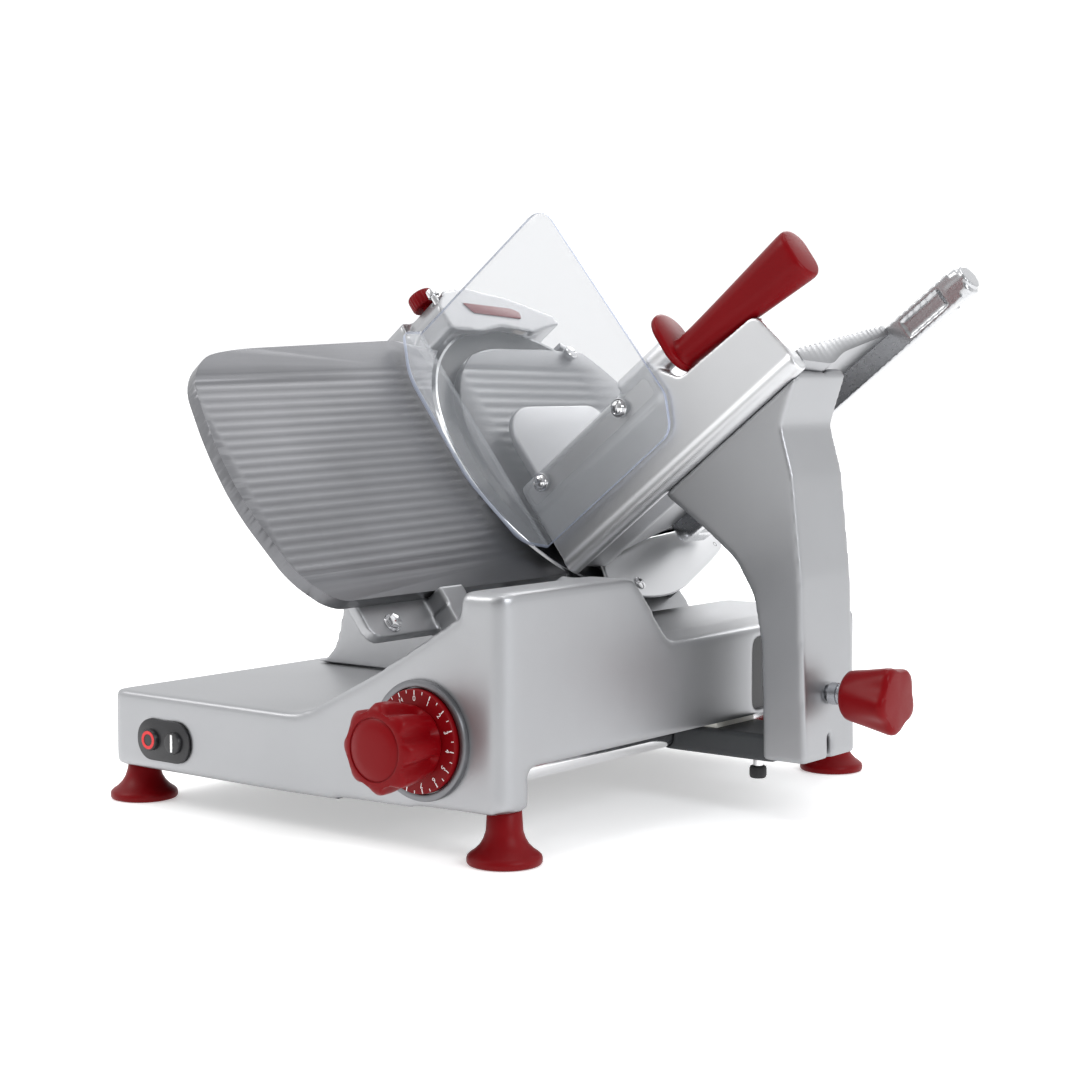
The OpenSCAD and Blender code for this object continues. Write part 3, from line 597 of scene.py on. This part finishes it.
def makeTrayFloor():
    start, length = trayFloor["along"]
    ribs = trayFloor["ribs"]
    last = ribs["first"] + ribs["pitch"] * ribs["count"]
    bm = bmesh.new()
    roundedFace(bm, trayFloor["outline"], start)
    raiseFaces(bm, bm.faces[:], length)
    easeEdges(bm, 1.4, 2, 60)
    for i in range(4 * ribs["count"] + 1):
        cutAcross(bm, (ribs["first"] + i * ribs["pitch"] / 4, 0, 0), (1, 0, 0))
    for w in (start + 3, start + 6):
        cutAcross(bm, (0, 0, w), (0, 0, 1))
    for vert in bm.verts:
        y, u, w = vert.co
        onTop = abs(u - 242.2 - (y - 258) * trayFloor["rise"]) < 1.0
        if ribs["first"] - 0.1 < y < last + 0.1 and onTop and w > start + 2.5:
            vert.co.y += ribs["depth"] * (0.5 - 0.5 * cos(2 * pi * (y - ribs["first"]) / ribs["pitch"]))
    makePiece("trayFloor", bm, slopeMatrix, "carriage", [castAluminium], ("carriage_floor",), 32)


# ---- meat press ----
press = {
    "plate": [(264, 252, 3), (264, 395, 44), (412, 395, 18), (412, 276, 3)],
    "plateLow": 18,
    "face": [(296, 284, 6), (296, 382, 12), (398, 382, 10), (398, 298, 6)],
    "stem": [(340, 328, 7), (446, 328, 8), (446, 262), (470, 262), (470, 348, 16), (340, 348, 7)],
    "sleeve": [(11.1, 74), (15.2, 74), (16, 74.8), (16, 101.2), (15.2, 102), (11.1, 102), (11.1, 74)],
    "sleeveAt": (458, 258, 0),
    "post": [(0, 25), (16, 25), (15.4, 27), (12.6, 30), (12, 34), (12, 90), (11, 91.2), (0, 91.4)],
    "postAt": (352, 338, 0),
    "ribs": {"first": 288, "pitch": 9, "count": 10, "depth": 0.9},
}


def ribbedFace():
    # the raised, ribbed part that bites into the meat
    ribs = press["ribs"]
    under = press["plateLow"] - 1
    face = bmesh.new()
    raiseFaces(face, roundedFace(face, press["face"], under), 3)
    easeEdges(face, 0.9, 2)
    for i in range(4 * ribs["count"] + 1):
        cutAcross(face, (0, ribs["first"] + i * ribs["pitch"] / 4, 0), (0, 1, 0))
    for vert in face.verts:
        if abs(vert.co.z - under) < 0.05:
            vert.co.z += ribs["depth"] * (0.5 - 0.5 * cos(2 * pi * (vert.co.y - ribs["first"]) / ribs["pitch"]))
    return face


def makePressPlate():
    plate = roundedSlab(press["plate"], press["plateLow"], press["plateLow"] + 8, 2.4, 4)
    stem = roundedSlab(press["stem"], 74, 90, 2.6, 3)
    sleeve = moved(lathe(press["sleeve"], 56), Matrix.Translation(press["sleeveAt"]))
    post = moved(lathe(press["post"], 48), Matrix.Translation(press["postAt"]))
    for part in (stem, sleeve, post):
        paint(part, 1)
    makePiece("pressPlate", joined(plate, ribbedFace(), stem, sleeve, post), slopeMatrix, "press",
              [castAluminium, polishedSteel], ("press_plate",), 35)


# ---- lock knob ----
lockKnob = {
    "foot": [(0, 0), (15, 0), (18.4, 0.6), (20, 2.2), (20.8, 5)],
    "cone": (20.8, 28),  # radius at its two ends
    "end": [(28.2, 40.5), (27.6, 43), (25.6, 45), (22, 45.5), (0, 45.6)],
    "lobes": 5,
    "lobeDepth": 0.15,
    "stub": [(0, -27.2), (5.9, -27.2), (5.9, -15.6), (8.6, -15.6), (9, -15.2), (9, -8.4), (7.6, -8), (7.6, -6.2),
             (9, -5.8), (9, -0.6), (8.6, 0.2), (0, 0.2)],
    "place": (118, 290, 100),
}


def makeLockKnob():
    narrow, wide = lockKnob["cone"]
    cone = [(narrow + (wide - narrow) * t / 10, 5 + 33 * t / 10) for t in range(1, 11)]
    knob = lathe(lockKnob["foot"] + cone + lockKnob["end"], 100)
    for vert in knob.verts:
        around = vert.co.xy.angle_signed(Vector((1, 0))) if vert.co.xy.length > 1e-6 else 0
        dip = 0.5 - 0.5 * cos(lockKnob["lobes"] * around + 0.7)
        vert.co.xy *= 1 - lockKnob["lobeDepth"] * min(1, vert.co.z / 38) * dip
    stub = paint(lathe(lockKnob["stub"], 48), 1)
    turn = Matrix.Rotation(radians(90), 4, "Y")
    makePiece("lockKnob", joined(knob, stub), onBench(*lockKnob["place"], turn), "carriage_lock",
              [redPlastic, turnedSteel], ("lock_knob",), 40)


# ---- dial ----
dial = {
    "place": (-57, -25, 88),
    "bezel": [(39.4, 0), (45, 0), (45, 3.2), (44.4, 4.6), (43, 5), (40.6, 5), (39.7, 4.6), (39.4, 3.8), (39.4, 0)],
    "disc": [(0, 0.5), (38.2, 0.5), (38.6, 1), (38.6, 7.6), (38.1, 8.6), (37, 9), (0, 9)],
    "scaleTop": 14,
    "tickRadius": 38.0,
    "ticks": ((0.75, 3.4), (0.55, 2.2)),  # width and length of the long and the short ones
    "digitRadius": 31.9,
    "digitSize": 5.6,
    "gripFoot": [(0, 9), (25, 9), (26.6, 9.6), (27.8, 11.5), (28.2, 15)],
    "gripEnd": [(31.6, 49.6), (28.8, 51.6), (24.6, 52.5), (23.6, 52.3), (23.4, 51.6), (22.8, 51.5), (21.4, 52.6),
                (14, 53.6), (7, 54), (0, 54)],
    "lobes": 8,
    "lobeDepth": 0.2,
}


def writeDigits(word, size):
    curve = bpy.data.curves.new("digits", "FONT")
    curve.body = word
    curve.size = size
    curve.align_x = "CENTER"
    curve.align_y = "CENTER"
    curve.extrude = 0.12
    holder = bpy.data.objects.new("digits", curve)
    bpy.context.scene.collection.objects.link(holder)
    bpy.context.view_layer.update()
    mesh = bpy.data.meshes.new_from_object(holder.evaluated_get(bpy.context.evaluated_depsgraph_get()))
    bpy.data.objects.remove(holder)
    bm = bmesh.new()
    bm.from_mesh(mesh)
    bmesh.ops.remove_doubles(bm, verts=bm.verts, dist=1e-5)
    return bm


def scaleMarks():
    # ticks all round, a number at every long one, reading clockwise from the top
    marks = []
    for i in range(2 * dial["scaleTop"] + 2):
        turn = Matrix.Rotation(-radians(12 * i), 4, "Z")
        width, length = dial["ticks"][i % 2]
        tick = bmesh.new()
        bmesh.ops.create_cube(tick, size=1)
        bmesh.ops.scale(tick, vec=(width, length, 0.24), verts=tick.verts)
        bmesh.ops.translate(tick, vec=(0, dial["tickRadius"] - length / 2, 9.0), verts=tick.verts)
        marks.append(moved(tick, turn))
        if i % 2 == 0:
            digits = writeDigits(str(i // 2), dial["digitSize"] * (0.8 if i >= 20 else 1))
            bmesh.ops.translate(digits, vec=(0, dial["digitRadius"], 9.0), verts=digits.verts)
            marks.append(moved(digits, turn))
    for mark in marks:
        paint(mark, 1)
    return marks


def makeDial():
    face = onBench(*dial["place"], facingFront)
    makePiece("dialBezel", lathe(dial["bezel"], 96), face, "base", [satinPlate], ("dial_bezel",))
    makePiece("dialDisc", joined(lathe(dial["disc"], 96), *scaleMarks()), face, "dial",
              [redPlastic, whitePaint], ("thickness_dial",), 40)
    # the lobed grip is a turned body pulled in between its lobes
    flare = [(28.2 + 5.4 * sin(pi * t / 18), 15 + 32 * t / 10) for t in range(1, 11)]
    grip = lathe(dial["gripFoot"] + flare + dial["gripEnd"], 128)
    for vert in grip.verts:
        if vert.co.xy.length > 23.5 and vert.co.z > 9.2:
            around = vert.co.xy.angle_signed(Vector((1, 0)))
            lift = min(1, (vert.co.z - 9) / 5) * min(1, max(0, (52.4 - vert.co.z) / 4))
            vert.co.xy *= 1 - dial["lobeDepth"] * lift * (0.5 - 0.5 * cos(dial["lobes"] * around)) ** 1.5
    makePiece("dialGrip", grip, face, "dial", [redPlastic], ("thickness_knob",), 45)


# ---- switch ----
switch = {
    "place": (-337, -25, 57),
    "outline": [(-31, -17, 16.5), (31, -17, 16.5), (31, 17, 16.5), (-31, 17, 16.5)],
    "cap": [(0, -11.5), (4, -11.5), (4, 1.5), (9, 1.5), (9, 4.6), (8.4, 5.6), (7, 5.9), (0, 5.4)],
    "stopRing": [(4.9, 5.2), (7.5, 5.2), (7.5, 6), (4.9, 6), (4.9, 5.2)],
    "startBar": (2.4, 14.4, 0.7),
    "keys": {  # place across, body, slot, paint of the sign, node
        "stopButton": (-14, "stop_key", "red_plastic", redPaint, "stop_button"),
        "startButton": (14, "start_key", "white_plastic", whitePaint, "start_button")},
}


def startBar():
    bar = bmesh.new()
    bmesh.ops.create_cube(bar, size=1)
    bmesh.ops.scale(bar, vec=switch["startBar"], verts=bar.verts)
    bmesh.ops.translate(bar, vec=(0, 0, 5.65), verts=bar.verts)
    easeEdges(bar, 0.2, 2)
    return bar


def makeSwitch():
    face = onBench(*switch["place"], facingFront)
    plate = roundedSlab(switch["outline"], 0, 2.2, 0.6, 2)
    rim = bmesh.new()
    roundedFace(rim, switch["outline"], 2.2)
    edge = bmesh.ops.inset_region(rim, faces=rim.faces[:], thickness=1.1, depth=0)["faces"]
    bmesh.ops.delete(rim, geom=[f for f in rim.faces if f not in edge], context="FACES")
    raiseFaces(rim, rim.faces[:], 0.8)
    paint(rim, 1)
    makePiece("switchPlate", joined(plate, rim), face, "base", [blackPlastic, polishedSteel],
              ("switch_plate",), 35)
    for name, (x, body, slotName, signPaint, node) in switch["keys"].items():
        sign = paint(lathe(switch["stopRing"], 48) if name == "stopButton" else startBar(), 1)
        key = moved(joined(lathe(switch["cap"], 48), sign), Matrix.Translation((x, 0, 0)))
        makePiece(name, key, face, body, [blackPlastic, signPaint], (node,), 35)


# ---- sharpener trim ----
sharpener = {
    "knob": [(0, -40), (4, -40), (4, -11), (11.5, -11), (12.6, -10), (13, -8.6), (13, 0.6), (12.2, 2.6), (10, 3.7),
             (5, 4), (0, 4)],
    "knobAt": (311, 553, -16),
    "knurls": 24,
    "button": [(0, -33), (3.5, -33), (3.5, -8), (4.8, -8), (5.5, -7.2), (5.5, -2), (4.9, -0.6), (3.6, 0), (0, 0)],
    "buttonAt": (299, 545, 5),
    "badge": [(322, 524, 2), (330, 512.5, 2), (396, 507, 2), (398, 515, 2), (388, 519, 3)],
}


def makeSharpenerTrim():
    upSlope = Matrix.Rotation(radians(-90), 4, "X")  # local z runs up the slope
    knob = lathe(sharpener["knob"], 96)
    for vert in knob.verts:
        if vert.co.xy.length > 12.2 and -10.4 < vert.co.z < 2:
            around = vert.co.xy.angle_signed(Vector((1, 0)))
            vert.co.xy *= 1 - 0.05 * (0.5 - 0.5 * cos(sharpener["knurls"] * around))
    makePiece("sharpenerKnob", knob, onSlope(*sharpener["knobAt"], upSlope), "sharpener_lock",
              [redPlastic], ("sharpener_knob",), 40)
    makePiece("sharpenerButton", lathe(sharpener["button"], 48), onSlope(*sharpener["buttonAt"], upSlope),
              "sharpener_key", [polishedSteel], ("sharpener_button",), 35)
    makePiece("sharpenerBadge", roundedSlab(sharpener["badge"], 12.6, 14.1, 0.5, 2), slopeMatrix, "base",
              [redPlastic], ("sharpener_badge",), 40)


# ---- gauge bolts ----
gaugeBolt = {
    "places": (36, 150),
    "up": 215,
    "washer": [(0, -12), (8, -12), (8, -10.9), (7.5, -10.5), (0, -10.5)],
    "shank": [(0, -22), (2.9, -22), (2.9, -12), (0, -12)],
    "head": (6, 4.4, -10.5),  # radius, height and where it starts
}


def makeGaugeBolts():
    radius, high, start = gaugeBolt["head"]
    parts = []
    for y in gaugeBolt["places"]:
        hexHead = bmesh.new()
        bmesh.ops.create_circle(hexHead, cap_ends=True, radius=radius, segments=6)
        raiseFaces(hexHead, hexHead.faces[:], high)
        easeEdges(hexHead, 0.6, 2)
        bmesh.ops.translate(hexHead, vec=(0, 0, start), verts=hexHead.verts)
        bolt = joined(lathe(gaugeBolt["washer"], 40), hexHead, lathe(gaugeBolt["shank"], 24))
        parts.append(moved(bolt, Matrix.Translation((y, gaugeBolt["up"], 0))))
    makePiece("gaugeBolts", joined(*parts), slopeMatrix, "gauge", [polishedSteel], ("gauge_bolts",), 30)


# ---- bumper under the link ----
bumper = {
    "stud": [(0, 37), (4, 37), (4, 43.8), (0, 43.8)],
    "rubber": [(0, 28), (5.6, 28), (6.6, 28.8), (7, 30.4), (7, 35.6), (6.5, 37.3), (5.2, 38), (0, 38)],
    "place": (46, 270, 0),
}


def makeBumper():
    stud = paint(lathe(bumper["stud"], 32), 1)
    makePiece("linkBumper", joined(lathe(bumper["rubber"], 48), stud), onBench(*bumper["place"]), "carriage_slider",
              [blackRubber, polishedSteel], ("link_bumper",), 38)


# ---- nodes kept from CAD ----
keptFinishes = {
    turnedSteel: ("foot_studs", "follower_pin", "dial_shaft", "blade_hub", "blade_screws", "hub_bearings",
                  "cover_tie_rod", "motor_pulley", "blade_pulley"),
    polishedSteel: ("guide_rod", "gauge_shaft_rod", "support_rail", "press_rod_bar", "press_hub"),
    blackPlastic: ("side_panel", "switch_block", "control_box", "cord_gland"),
    blackRubber: ("drive_belt",),
    darkCasting: ("motor", "bottom_cover"),
    turnedBronze: ("index_cam",),
    grindStone: ("sharpening_stones",),
    nylon: ("glide_pad",),
    redPlastic: ("tie_rod_knob",),
}


def finishKeptNodes():
    for finish, names in keptFinishes.items():
        for node in names:
            for slot in nodes[node].material_slots:
                slot.material = finish


def makeFloor():
    bm = bmesh.new()
    bmesh.ops.create_grid(bm, x_segments=2, y_segments=2, size=studio["floorHalf"])
    mesh = bpy.data.meshes.new("floor")
    bm.to_mesh(mesh)
    bm.free()
    mesh.materials.append(paleFloor)
    floor = bpy.data.objects.new("floor", mesh)
    bpy.context.scene.collection.objects.link(floor)


setStudio()
makeFloor()
makeCastings()
print("castings done")
makeFeet()
makeGaugePlate()
makeBlade()
makeRingGuard()
makeBladeCover()
makeLowerShell()
makeThumbscrew()
print("gauge plate and blade done")
makeFingerGuard()
makeHandle()
makeTrayFloor()
makePressPlate()
makeLockKnob()
print("carriage done")
makeDial()
makeSwitch()
makeSharpenerTrim()
makeGaugeBolts()
makeBumper()
finishKeptNodes()
print("trim done")
